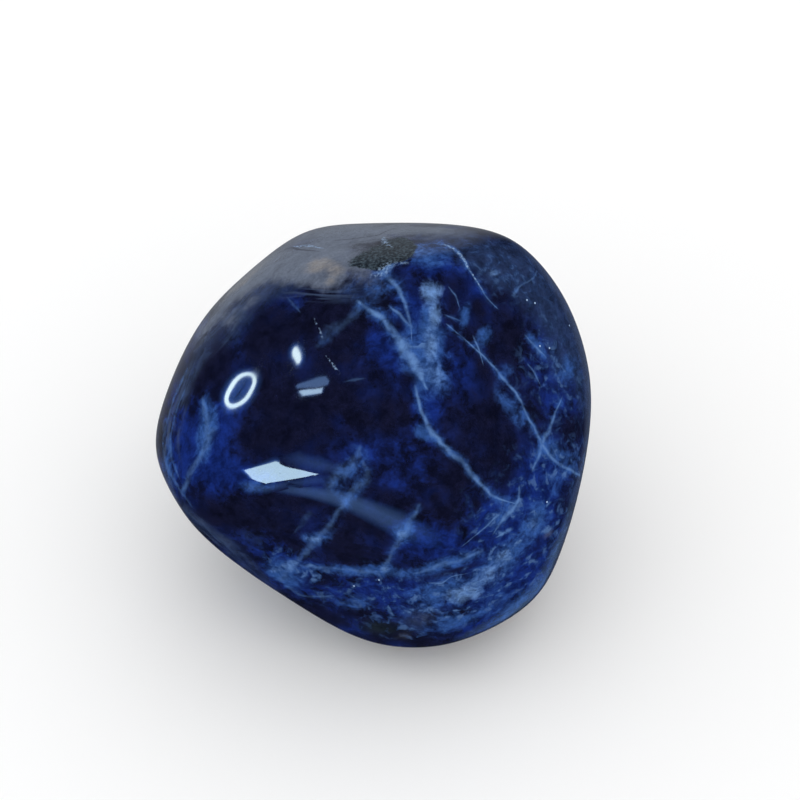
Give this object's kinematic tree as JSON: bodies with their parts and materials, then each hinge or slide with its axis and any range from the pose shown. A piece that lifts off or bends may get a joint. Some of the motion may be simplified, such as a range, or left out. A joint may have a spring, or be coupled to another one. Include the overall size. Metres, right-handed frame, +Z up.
{
  "type": "tumbled sodalite stone",
  "caption": "Polished tumbled sodalite: a rounded, faceted blue stone with pale veins, resting on a small flat spot.",
  "frame": {"origin": "on the surface that the stone rests on, under the middle of its box", "axes": "+X along the stone's longest side, to the right as seen from the front; +Z up from the flat resting spot"},
  "size_m": [0.0362, 0.034, 0.032],
  "materials": {
    "polished_sodalite": "polished, dark blue with pale veins"
  },
  "bodies": {
    "root": {"sodalite_stone": "polished_sodalite"}
  },
  "joints": []
}
